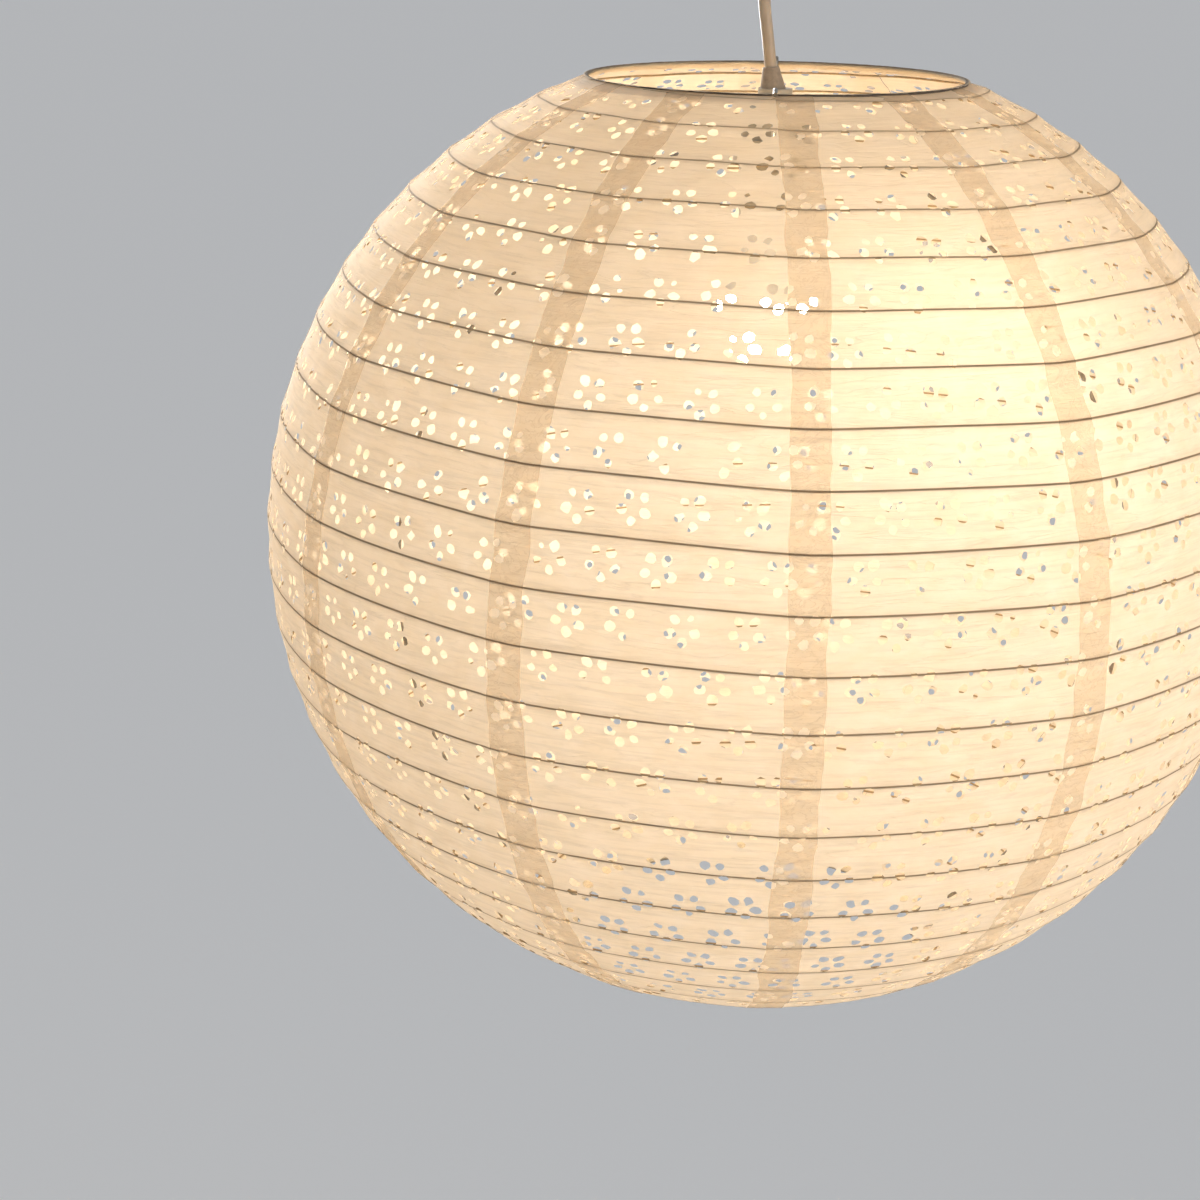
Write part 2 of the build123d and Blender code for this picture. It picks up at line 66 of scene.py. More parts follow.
bpy.ops.mesh.primitive_plane_add(size=120, location=(0, 0, -2.4))
floor = bpy.context.object
floor.name = "floor"
floor_paint = bpy.data.materials.new("pale floor paint")
floor_paint.use_nodes = True
floor_paint.node_tree.nodes["Principled BSDF"].inputs["Base Color"].default_value = (0.9, 0.89, 0.88, 1)
floor_paint.node_tree.nodes["Principled BSDF"].inputs["Roughness"].default_value = 0.9
floor.data.materials.append(floor_paint)

world = bpy.data.worlds.new("pale room")
world.use_nodes = True
world.node_tree.nodes["Background"].inputs["Color"].default_value = (0.93, 0.96, 1, 1)
world.node_tree.nodes["Background"].inputs["Strength"].default_value = 0.54
bpy.context.scene.world = world

for name, place, size, watts, tint in (
    ("right panel", (1.7, -1.5, 0.1), 1.4, 5, (1, 0.95, 0.88)),
    ("left panel", (-0.95, 1.9, 0.0), 1.4, 24, (0.97, 0.98, 1)),
):
    bpy.ops.object.light_add(type="AREA", location=place)
    panel = bpy.context.object
    panel.name = name
    panel.data.size = size
    panel.data.energy = watts
    panel.data.color = tint
    panel.data.spread = math.radians(90)
    panel.rotation_euler = (Vector((0, 0, -0.45)) - Vector(place)).to_track_quat("-Z", "Y").to_euler()

# ---------------------------------------------------------------- pendant cord
# Three-core flexible cord, 7 mm over its beige sheath. The cord grip in the canopy holds it, and below the
# swing point it runs down with a slight set from its packing, through the strain relief into the holder cap.
CORD_ROUTE = [
    (0.0, 0.0, -0.0535),
    (-0.0008, 0.0, -0.08),
    (-0.0072, 0.0, -0.106),
    (-0.009, 0.0, -0.132),
    (-0.0046, 0.0, -0.16),
    (-0.0009, 0.0, -0.19),
]
CORD_D = 0.007


def finish(name, colour, roughness, **sockets):
    """A material with these values on its own shader."""
    made = bpy.data.materials.new(name)
    made.use_nodes = True
    shader = made.node_tree.nodes["Principled BSDF"]
    shader.inputs["Base Color"].default_value = (*colour, 1)
    shader.inputs["Roughness"].default_value = roughness
    for socket, value in sockets.items():
        shader.inputs[socket.replace("_", " ")].default_value = value
    return made


def grain(made, size, stretch=(1, 1, 1), tones=None, gloss=None, height=0.0, detail=5.0, source="Object"):
    """Vary a finish with noise of about this grain size in metres: its tones, its gloss, its surface."""
    tree = made.node_tree
    shader = tree.nodes["Principled BSDF"]
    place = tree.nodes.new("ShaderNodeTexCoord")
    turned = tree.nodes.new("ShaderNodeMapping")
    turned.inputs["Scale"].default_value = stretch
    cloud = tree.nodes.new("ShaderNodeTexNoise")
    cloud.inputs["Scale"].default_value = 1 / size
    cloud.inputs["Detail"].default_value = detail
    tree.links.new(place.outputs[source], turned.inputs["Vector"])
    tree.links.new(turned.outputs["Vector"], cloud.inputs["Vector"])
    if tones:
        ramp = tree.nodes.new("ShaderNodeValToRGB")
        for stop, position, tone in zip(ramp.color_ramp.elements, (0.32, 0.68), tones):
            stop.position, stop.color = position, (*tone, 1)
        tree.links.new(cloud.outputs["Fac"], ramp.inputs["Fac"])
        tree.links.new(ramp.outputs["Color"], shader.inputs["Base Color"])
    if gloss:
        spread = tree.nodes.new("ShaderNodeMapRange")
        for socket, value in zip(("From Min", "From Max", "To Min", "To Max"), (0.3, 0.7, *gloss)):
            spread.inputs[socket].default_value = value
        tree.links.new(cloud.outputs["Fac"], spread.inputs["Value"])
        tree.links.new(spread.outputs["Result"], shader.inputs["Roughness"])
    if height:
        bump = tree.nodes.new("ShaderNodeBump")
        bump.inputs["Distance"].default_value = height
        tree.links.new(cloud.outputs["Fac"], bump.inputs["Height"])
        if shader.inputs["Normal"].is_linked:
            tree.links.new(shader.inputs["Normal"].links[0].from_socket, bump.inputs["Normal"])
        tree.links.new(bump.outputs["Normal"], shader.inputs["Normal"])
    return made


def wear(made, *names):
    """Give CAD pieces this finish on every slot."""
    for name in names:
        for slot in cad[name].material_slots:
            slot.material = made


cord_line = bpy.data.curves.new("pendant cord", "CURVE")
cord_line.dimensions = "3D"
run = cord_line.splines.new("NURBS")
run.points.add(len(CORD_ROUTE) - 1)
for point, place in zip(run.points, CORD_ROUTE):
    point.co = (*place, 1)
run.order_u = 3
run.use_endpoint_u = True
run.resolution_u = 24
cord_line.bevel_depth = CORD_D / 2
cord_line.bevel_resolution = 8
cord_line.use_fill_caps = True
cord = bpy.data.objects.new("pendant_cord_sheath", cord_line)
bpy.context.collection.objects.link(cord)

sheath = finish("beige cord sheath", (0.42, 0.33, 0.23), 0.38, Specular_IOR_Level=0.45)
grain(sheath, 0.004, (1, 1, 0.15), tones=((0.36, 0.28, 0.19), (0.46, 0.36, 0.26)))
grain(sheath, 0.0008, (1, 1, 0.05), gloss=(0.3, 0.46), height=0.0001)
cord_line.materials.append(sheath)

relief_rubber = finish("strain relief rubber", (0.3, 0.23, 0.16), 0.6)
grain(relief_rubber, 0.003, tones=((0.25, 0.19, 0.13), (0.36, 0.28, 0.2)), gloss=(0.5, 0.7))
grain(relief_rubber, 0.0005, height=0.00008)
wear(relief_rubber, "strain_relief")

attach(cord, "pendant")
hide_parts("pendant_cord")

# ---------------------------------------------------------------- ceiling fitting
# Zinc-plated steel strip with its screws and the moulded canopy that covers it, screwed on from two sides.
# Under it is the clamping cord grip, and inside is the terminal block with the stripped leads.
plated = finish("zinc plate", (0.6, 0.6, 0.57), 0.36, Metallic=1.0)
grain(plated, 0.006, tones=((0.52, 0.52, 0.5), (0.66, 0.66, 0.63)), gloss=(0.26, 0.46), detail=8)
wear(plated, "ceiling_bracket")
screw_zinc = finish("bright zinc", (0.74, 0.74, 0.75), 0.24, Metallic=1.0)
grain(screw_zinc, 0.002, tones=((0.66, 0.66, 0.68), (0.8, 0.8, 0.8)), gloss=(0.17, 0.34))
grain(screw_zinc, 0.0006, (1, 1, 8), height=0.00002)
wear(screw_zinc, "canopy_screws", "grip_screw", "terminal_screws")

canopy_shell = finish("canopy moulding", (0.78, 0.75, 0.69), 0.3, Specular_IOR_Level=0.5)
grain(canopy_shell, 0.03, tones=((0.75, 0.72, 0.655), (0.81, 0.785, 0.73)), gloss=(0.24, 0.38))
grain(canopy_shell, 0.0012, height=0.00004)
wear(canopy_shell, "canopy")
grip_plastic = finish("cord grip moulding", (0.74, 0.71, 0.65), 0.42)
grain(grip_plastic, 0.004, tones=((0.69, 0.66, 0.6), (0.78, 0.75, 0.69)), gloss=(0.34, 0.52))
grain(grip_plastic, 0.0006, height=0.00004)
wear(grip_plastic, "cord_grip", "grip_nut")

block = finish("terminal block moulding", (0.85, 0.85, 0.8), 0.5, Subsurface_Weight=0.1)
grain(block, 0.003, tones=((0.8, 0.8, 0.75), (0.88, 0.88, 0.84)), gloss=(0.4, 0.6))
wear(block, "terminal_block")
wear(sheath, "cord_tail")
for name, tone in (
    ("lead_live", (0.22, 0.09, 0.04)), ("lead_neutral", (0.05, 0.19, 0.5)), ("lead_earth", (0.3, 0.5, 0.06)),
):
    lead = finish(name.replace("_", " ") + " sleeve", tone, 0.45)
    grain(lead, 0.002, tones=([0.85 * c for c in tone], [min(1, 1.15 * c) for c in tone]), gloss=(0.36, 0.52))
    wear(lead, name)

# ---------------------------------------------------------------- lamp holder
# Moulded thermoset cap and threaded body, with the ring that clamps the spreader's eye under the flange.
# Inside, a ceramic insert carries the brass thread and the centre contact.
thermoset = finish("holder thermoset", (0.46, 0.4, 0.3), 0.45)
grain(thermoset, 0.006, tones=((0.4, 0.345, 0.26), (0.5, 0.44, 0.34)), gloss=(0.36, 0.55))
grain(thermoset, 0.0007, height=0.00005)
wear(thermoset, "holder_cap", "holder_body", "shade_ring")
porcelain = finish("unglazed porcelain", (0.82, 0.8, 0.75), 0.7)
grain(porcelain, 0.002, tones=((0.76, 0.74, 0.69), (0.86, 0.85, 0.81)), height=0.0001)
wear(porcelain, "contact_insert")
brass = finish("brass", (0.78, 0.58, 0.27), 0.3, Metallic=1.0)
grain(brass, 0.003, tones=((0.62, 0.44, 0.19), (0.84, 0.65, 0.33)), gloss=(0.22, 0.45))
wear(brass, "thread_shell", "centre_contact")

# ---------------------------------------------------------------- lamp
# LED lamp screwed into the holder: glass-insulated screw cap, ribbed plastic housing and an opal diffuser
# that is lit. Its boards lie behind the diffuser.
opal = finish(
    "lit opal diffuser", (0.95, 0.92, 0.85), 0.35, Emission_Color=(1, 0.86, 0.64, 1), Emission_Strength=56.0
)
grain(opal, 0.01, tones=((0.92, 0.89, 0.81), (0.97, 0.95, 0.89)))
wear(opal, "lamp_globe")
housing = finish("lamp housing plastic", (0.84, 0.83, 0.79), 0.32)
grain(housing, 0.008, tones=((0.79, 0.78, 0.74), (0.88, 0.87, 0.84)), gloss=(0.26, 0.42))
wear(housing, "lamp_housing")
pressed = finish("pressed lamp cap", (0.7, 0.69, 0.66), 0.3, Metallic=1.0)
grain(pressed, 0.004, tones=((0.58, 0.57, 0.54), (0.76, 0.75, 0.73)), gloss=(0.2, 0.42))
wear(pressed, "lamp_shell", "lamp_tip")
insulator = finish("black cap glass", (0.015, 0.015, 0.017), 0.12, Coat_Weight=0.5)
grain(insulator, 0.002, gloss=(0.08, 0.2))
wear(insulator, "lamp_insulator")
board = finish("green board", (0.06, 0.24, 0.11), 0.4)
grain(board, 0.003, tones=((0.04, 0.18, 0.08), (0.09, 0.3, 0.14)), gloss=(0.3, 0.5))
wear(board, "driver_board")
led_white = finish("white lacquered plate", (0.88, 0.88, 0.88), 0.45)
grain(led_white, 0.004, tones=((0.84, 0.84, 0.84), (0.9, 0.9, 0.9)), gloss=(0.4, 0.55))
wear(led_white, "led_board")
phosphor = finish("phosphor", (0.9, 0.68, 0.15), 0.5)
grain(phosphor, 0.0008, tones=((0.82, 0.58, 0.1), (0.95, 0.76, 0.22)))
wear(phosphor, "led_chips")

# The holder shades the top of the paper: the lamp throws its light forward, to the right and down.
for name, place, way, watts in (
    ("lamp glow", (0.03, -0.05, -0.335), (0.25, -1, -0.4), 1.25),
    ("lamp glow near the paper", (0.075, -0.135, -0.315), (0.3, -1, -0.1), 0.4),
    ("lamp glow below", (0.0, 0.02, -0.36), (0, 0.55, -1), 1.1),
):
    bpy.ops.object.light_add(type="SPOT", location=place)
    glow = bpy.context.object
    glow.name = name
    glow.rotation_euler = Vector(way).to_track_quat("-Z", "Y").to_euler()
    glow.data.spot_size = math.radians(165)
    glow.data.spot_blend = 1
    glow.data.energy = watts
    glow.data.shadow_soft_size = 0.03
    glow.data.color = (1, 0.9, 0.73)

# ---------------------------------------------------------------- mouth rings and spreader
# Welded rings of brown coated wire stiffen the two mouths. The spring-steel spreader stands on the holder:
# its two arms hook over the top ring and its two bowed legs push the bottom ring down and stretch the paper.
ring_coat = finish("brown wire coating", (0.09, 0.06, 0.04), 0.5)
grain(ring_coat, 0.003, tones=((0.06, 0.042, 0.03), (0.14, 0.1, 0.065)), gloss=(0.4, 0.65), height=0.00005)
wear(ring_coat, "top_ring", "bottom_ring")
spring_steel = finish("drawn spring steel", (0.3, 0.28, 0.25), 0.34, Metallic=1.0)
grain(spring_steel, 0.003, tones=((0.22, 0.2, 0.17), (0.38, 0.36, 0.32)), gloss=(0.26, 0.45))
wear(spring_steel, "spreader_top")

SHADE_R, MOUTH_R, SHADE_H, SHADE_TOP = 0.3, 0.11, 0.54, -0.177
MIDDLE = SHADE_TOP - SHADE_H / 2
ARC = ((SHADE_H / 2) ** 2 + (SHADE_R - MOUTH_R) ** 2) / (2 * (SHADE_R - MOUTH_R))
ARC_X = SHADE_R - ARC  # the shade's outline is an arc about (ARC_X, MIDDLE)
EDGE = math.asin(SHADE_H / 2 / ARC)
RING_INSET = 0.0014
RING_R = ARC_X + (ARC - RING_INSET) * math.cos(EDGE)
RING_BOTTOM = MIDDLE - (ARC - RING_INSET) * math.sin(EDGE)
WIRE_D, HOOK_R, HOOK_TIP = 0.0025, 0.00305, 0.005
HUB_Z = -0.2173
LEG_ROUTE = [
    (0.02275, HUB_Z), (0.047, HUB_Z), (0.09, -0.241), (0.136, -0.277), (0.178, -0.326), (0.212, -0.394),
    (0.227, -0.474), (0.218, -0.56), (0.184, -0.638), (0.138, -0.688), (RING_R - HOOK_R, RING_BOTTOM + 0.013),
]
HOOK_STEPS = 4
turned = (math.pi - EDGE) / HOOK_STEPS
hook_corners = [
    (
        RING_R + HOOK_R / math.cos(turned / 2) * math.cos(math.pi + turned * (i + 0.5)),
        RING_BOTTOM + HOOK_R / math.cos(turned / 2) * math.sin(math.pi + turned * (i + 0.5)),
    )
    for i in range(HOOK_STEPS)
]
hook_end = (
    RING_R + HOOK_R * math.cos(EDGE) + HOOK_TIP * math.sin(EDGE),
    RING_BOTTOM - HOOK_R * math.sin(EDGE) + HOOK_TIP * math.cos(EDGE),
)


def wire_along(name, points, diameter, order, steps, sides):
    """A round wire drawn as a curve through points, then made a mesh."""
    bpy.ops.object.select_all(action="DESELECT")
    bpy.ops.curve.primitive_nurbs_path_add()
    drawn = bpy.context.object
    drawn.name = name
    line = drawn.data
    line.splines.clear()
    course = line.splines.new("NURBS" if order > 2 else "POLY")
    course.points.add(len(points) - 1)
    for spot, place in zip(course.points, points):
        spot.co = (*place, 1)
    if order > 2:
        course.order_u = order
        course.use_endpoint_u = True
        course.resolution_u = steps
    line.bevel_depth = diameter / 2
    line.bevel_resolution = sides
    line.use_fill_caps = True
    bpy.ops.object.convert(target="MESH")
    bpy.ops.object.mode_set(mode="EDIT")
    bpy.ops.mesh.select_all(action="SELECT")
    bpy.ops.mesh.remove_doubles(threshold=0.00002)
    bpy.ops.mesh.normals_make_consistent(inside=False)
    bpy.ops.object.mode_set(mode="OBJECT")
    bpy.ops.object.shade_smooth_by_angle(angle=math.radians(50))
    return drawn


for name, side in (("leg_left", -1), ("leg_right", 1)):
    outline = LEG_ROUTE + hook_corners + [hook_end]
    leg = wire_along(name + "_wire", [(side * r, 0, z) for r, z in outline], WIRE_D, 3, 8, 2)
    leg.data.materials.clear()
    leg.data.materials.append(spring_steel)
    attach(leg, "pendant")
    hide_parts(name)
    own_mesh(leg)

# ---------------------------------------------------------------- rib wire
# Thin brown coated wire wound round the shade twenty-three times from the top ring to the bottom one. The
# paper is glued on it, and its shadow, also painted on the paper as a dark line, shows as the shade's level
# lines.
RIB_D, RIB_TURNS = 0.0012, 22.8
GORES = 12
FIRST_SEAM, SEAM_DRAW = math.radians(5), 0.0016
RIB_START = math.radians(-40)
RIB_FIRST = 0.003
PAPER_INSET = 0.00055
RIB_INSET = PAPER_INSET + RIB_D / 2 + 0.0001
LENGTH = 2 * ARC * EDGE
PITCH = (LENGTH - 2 * RIB_FIRST) / RIB_TURNS


def on_shade(bearing, down, inset):
    """A point at a bearing from the front towards +X, this far down the shade and this far inside it."""
    latitude = EDGE - down / ARC
    reach = ARC_X + (ARC - inset) * math.cos(latitude)
    return Vector(
        (reach * math.sin(bearing), -reach * math.cos(bearing), MIDDLE + (ARC - inset) * math.sin(latitude))
    )


def rib_down(turns):
    """How far down the shade the wire is. It wavers a little, and each stiff seam draws it down."""
    slow = 0.0007 * noise.noise(Vector((turns * 7, 3.1, 0)))
    quick = 0.0004 * noise.noise(Vector((turns * 23, 9.7, 0)))
    drawn = SEAM_DRAW * (0.5 - abs(math.sin(GORES / 2 * (RIB_START - FIRST_SEAM + math.tau * turns))))
    return RIB_FIRST + PITCH * turns + (slow + quick) + drawn


RIB_STEPS = 84
rib = wire_along(
    "rib_wire_coil",
    [
        on_shade(RIB_START + math.tau * i / RIB_STEPS, rib_down(i / RIB_STEPS), RIB_INSET)
        for i in range(int(RIB_TURNS * RIB_STEPS) + 1)
    ],
    RIB_D, 2, 1, 1,
)
rib_coat = finish("brown rib coating", (0.36, 0.25, 0.13), 0.6)
grain(rib_coat, 0.004, tones=((0.28, 0.19, 0.09), (0.44, 0.31, 0.16)), gloss=(0.5, 0.7))
rib.data.materials.clear()
rib.data.materials.append(rib_coat)
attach(rib, "pendant")
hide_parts("rib_wire")
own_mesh(rib)

# ---------------------------------------------------------------- paper gores
# Twelve gores of thin mulberry paper, pierced with flowers of five holes, are glued on the ribs one after
# the other. Each laps 10 mm over the next, so the seams are bands two papers thick. Between two ribs the
# paper is drawn in, and its long fibres and fine creases run round the shade.
HALF = math.pi / GORES
LAP, LAP_RISE, LAP_LIFT = 0.0103, 0.003, 0.0004
SAG = 0.0011
FLOWER_ROW, FLOWER_PITCH = 0.0283, 0.0292
PETAL_OUT, PETAL_R, PETAL_SIDES = 0.0067, 0.0025, 8
ROW_HALF = 0.13  # a row of flowers is drawn this far out on each side, past the widest gore's edges
MOUTH_PLAIN, EDGE_PLAIN = 0.009, 0.0048  # no petal is punched nearer to a mouth, or to a cut edge
END_TRIM = 0.0004
EDGE_STEP, END_STEPS, CREASE_STEPS = 0.0055, 9, 7
LOOSE_GAP, LOOSE_ROW = 0.0105, 0.0051  # spacing of the points that the plain paper bends at
SHOWN_THROUGH = 0.34
# painted shade at the top: the heights where it starts and where it is fullest, its greatest share and its tone
TOP_SHADE_LOW, TOP_SHADE_HIGH, TOP_SHADE_MOST, TOP_SHADE_TONE = -0.33, -0.18, 0.42, (0.66, 0.49, 0.3)


def paper(name, tones, clear, creases, ribbed, crinkled):
    """Pierced-shade paper. Its own map lies in metres along and down the sheet. clear is how much of what
    is behind shows straight through, as it does where paste has wetted the paper through."""
    made = finish(name, tones[0], 0.8, Specular_IOR_Level=0.2)
    tree = made.node_tree
    shader = tree.nodes["Principled BSDF"]
    add, link = tree.nodes.new, tree.links.new
    flat = add("ShaderNodeUVMap")
    flat.uv_map = "sheet"

    def cloud(scale, detail, rough, twist=0.0):
        spread = add("ShaderNodeMapping")
        spread.inputs["Scale"].default_value = scale
        link(flat.outputs["UV"], spread.inputs["Vector"])
        made_noise = add("ShaderNodeTexNoise")
        made_noise.inputs["Scale"].default_value = 1
        made_noise.inputs["Detail"].default_value = detail
        made_noise.inputs["Roughness"].default_value = rough
        made_noise.inputs["Distortion"].default_value = twist
        link(spread.outputs["Vector"], made_noise.inputs["Vector"])
        return made_noise.outputs["Fac"]

    def ramp(factor, *stops):
        band = add("ShaderNodeValToRGB")
        while len(band.color_ramp.elements) < len(stops):
            band.color_ramp.elements.new(0.5)
        for stop, (position, tone) in zip(band.color_ramp.elements, stops):
            stop.position = position
            stop.color = (*tone, 1) if hasattr(tone, "__len__") else (tone, tone, tone, 1)
        link(factor, band.inputs["Fac"])
        return band.outputs["Color"]

    def blend_in(kind, share, under, over):
        mix = add("ShaderNodeMix")
        mix.data_type = "RGBA"
        mix.blend_type = kind
        mix.inputs["Factor"].default_value = share
        link(under, mix.inputs["A"])
        link(over, mix.inputs["B"])
        return mix.outputs["Result"]

    pulp = ramp(cloud((45, 70, 1), 6, 0.62, 0.4), (0.3, tones[0]), (0.7, tones[1]))
    # long fibres and creases are the thin level bands of stretched noise
    fibres = ramp(cloud((12, 120, 1), 3, 0.5, 0.9), (0.48, 1.0), (0.5, 0.8), (0.52, 1.0))
    wisps = ramp(cloud((26, 330, 1), 4, 0.6, 0.8), (0.36, 0.86), (0.5, 1.0), (0.7, 1.04))
    colour = blend_in("MULTIPLY", 0.25, pulp, fibres)
    colour = blend_in("MULTIPLY", 0.5, colour, wisps)
    if crinkled:
        crinkles = ramp(cloud((55, 85, 1), 4, 0.6, 2.6), (0.465, 1.0), (0.5, 0.66), (0.52, 1.06))
        colour = blend_in("MULTIPLY", crinkled, colour, crinkles)
    if ribbed:
        # painted shadow: along each rib the wire's shadow is painted on the paper as a dark brown line, with a
        # faint darker band beside it
        away = add("ShaderNodeAttribute")
        away.attribute_name = "rib_distance"
        faint_band_beside_wire = (0.6, 4.0, 0.16, (0.55, 0.38, 0.2))
        # painted shadow of the wire: how near it starts and ends, its deepest share and its tone
        wire_shadow_line = (0.3, 0.68, 0.75, (0.25, 0.145, 0.05))
        for near, far, deepest, tone in (faint_band_beside_wire, wire_shadow_line):
            fade = add("ShaderNodeMapRange")
            for socket, value in zip(("From Min", "From Max", "To Min", "To Max"), (near, far, deepest, 0)):
                fade.inputs[socket].default_value = value
            link(away.outputs["Fac"], fade.inputs["Value"])
            line = add("ShaderNodeMix")
            line.data_type = "RGBA"
            line.inputs["B"].default_value = (*tone, 1)
            link(fade.outputs["Result"], line.inputs["Factor"])
            link(colour, line.inputs["A"])
            colour = line.outputs["Result"]
    # painted shade: the paper is painted darker and yellower towards the top of the shade, where the lamp under
    # the holder lights it less
    lies = add("ShaderNodeTexCoord")
    height = add("ShaderNodeSeparateXYZ")
    link(lies.outputs["Object"], height.inputs["Vector"])
    top_shade_share = add("ShaderNodeMapRange")
    for socket, value in zip(("From Min", "From Max", "To Min", "To Max"), (TOP_SHADE_LOW, TOP_SHADE_HIGH, 0, TOP_SHADE_MOST)):
        top_shade_share.inputs[socket].default_value = value
    link(height.outputs["Z"], top_shade_share.inputs["Value"])
    top_shade_mix = add("ShaderNodeMix")
    top_shade_mix.data_type = "RGBA"
    top_shade_mix.inputs["B"].default_value = (*TOP_SHADE_TONE, 1)
    link(top_shade_share.outputs["Result"], top_shade_mix.inputs["Factor"])
    link(colour, top_shade_mix.inputs["A"])
    colour = top_shade_mix.outputs["Result"]
    link(colour, shader.inputs["Base Color"])

    wrinkle = cloud((16, 150, 1), 5, 0.6, 1.2)
    bump = add("ShaderNodeBump")
    bump.inputs["Distance"].default_value = creases
    link(wrinkle, bump.inputs["Height"])
    fold = add("ShaderNodeBump")
    fold.inputs["Distance"].default_value = creases
    link(fibres, fold.inputs["Height"])
    link(bump.outputs["Normal"], fold.inputs["Normal"])
    link(fold.outputs["Normal"], shader.inputs["Normal"])

    through = add("ShaderNodeBsdfTranslucent")
    link(colour, through.inputs["Color"])
    link(fold.outputs["Normal"], through.inputs["Normal"])
    share = add("ShaderNodeMixShader")
    share.inputs["Fac"].default_value = SHOWN_THROUGH
    link(shader.outputs["BSDF"], share.inputs[1])
    link(through.outputs["BSDF"], share.inputs[2])
    shown = share.outputs["Shader"]
    if clear:
        hole = add("ShaderNodeBsdfTransparent")
        soak_and_ring_shadow = add("ShaderNodeMixShader")
        soak_and_ring_shadow.inputs["Fac"].default_value = clear
        link(shown, soak_and_ring_shadow.inputs[1])
        link(hole.outputs["BSDF"], soak_and_ring_shadow.inputs[2])
        shown = soak_and_ring_shadow.outputs["Shader"]
    link(shown, tree.nodes["Material Output"].inputs["Surface"])
    return made


PAPER_TONES = (0.9, 0.755, 0.56), (0.955, 0.825, 0.66)
LAP_TONES = (0.88, 0.69, 0.46), (0.94, 0.78, 0.57)
shade_paper = paper("mulberry paper", PAPER_TONES, clear=0, creases=0.0006, ribbed=True, crinkled=0)
lapped_paper = paper("lapped mulberry paper", LAP_TONES, clear=0.6, creases=0.0014, ribbed=True, crinkled=0.7)


def reach_at(down):
    return ARC_X + ARC * math.cos(EDGE - down / ARC)


def sheet_depth(bearing, down, x, half_width):
    """How far inside the shade's outer face the paper lies: drawn in between ribs, and up over the lap."""
    phase = ((down - RIB_FIRST) / PITCH - (bearing - RIB_START) / math.tau) % 1
    depth = PAPER_INSET + SAG * 4 * phase * (1 - phase)
    onto = min(1, max(0, (x - half_width + 2 * LAP + LAP_RISE) / LAP_RISE))
    return depth - LAP_LIFT * onto


def rib_away(bearing, down):
    """How far a point of the shade is from the nearest run of the rib wire."""
    part = (bearing - RIB_START) % math.tau / math.tau
    nearest = round((down - RIB_FIRST) / PITCH - part)
    runs = [part + turn for turn in (nearest - 1, nearest, nearest + 1) if part + turn >= 0]
    return min(abs(down - rib_down(turns)) for turns in runs)


def flower_holes(half_at):
    """Outlines of the petals punched in one gore, in its flat plane."""
    outlines = []
    row_shift, column_shift = random.uniform(0, FLOWER_ROW), random.uniform(0, FLOWER_PITCH)
    row = 0
    y = row_shift - FLOWER_ROW
    while y < LENGTH + FLOWER_ROW:
        x = -ROW_HALF + column_shift - FLOWER_PITCH + (row % 2) * FLOWER_PITCH / 2
        while x < ROW_HALF:
            middle = (x + random.gauss(0, 0.0007), y + random.gauss(0, 0.0007))
            tilt = random.gauss(0, 0.08)
            for petal in range(5):
                along = math.pi / 2 + tilt + petal * math.tau / 5
                across = random.random()
                size = PETAL_R * random.uniform(0.82, 1.18) * (0.6 if across < 0.05 else 1)
                away = PETAL_OUT * random.uniform(0.92, 1.08)
                cx, cy = middle[0] + away * math.cos(along), middle[1] + away * math.sin(along)
                spin, drawn_out = random.uniform(0, math.tau), random.uniform(1.0, 1.25)
                torn = 0.26 if random.random() < 0.4 else 0.12
                missed = across > 0.97
                if missed or not MOUTH_PLAIN < cy < LENGTH - MOUTH_PLAIN or abs(cx) > half_at(cy) - EDGE_PLAIN:
                    continue
                loop = []
                for side in range(PETAL_SIDES):
                    a = spin + side * math.tau / PETAL_SIDES
                    r = size * (1 + random.uniform(-torn, torn))
                    u, v = r * drawn_out * math.cos(a - along), r * math.sin(a - along)
                    loop.append((cx + u * math.cos(along) - v * math.sin(along),
                                 cy + u * math.sin(along) + v * math.cos(along)))
                outlines.append(((cx, cy), size * drawn_out * (1 + torn), loop))
            x += FLOWER_PITCH
        y += FLOWER_ROW
        row += 1
    return outlines


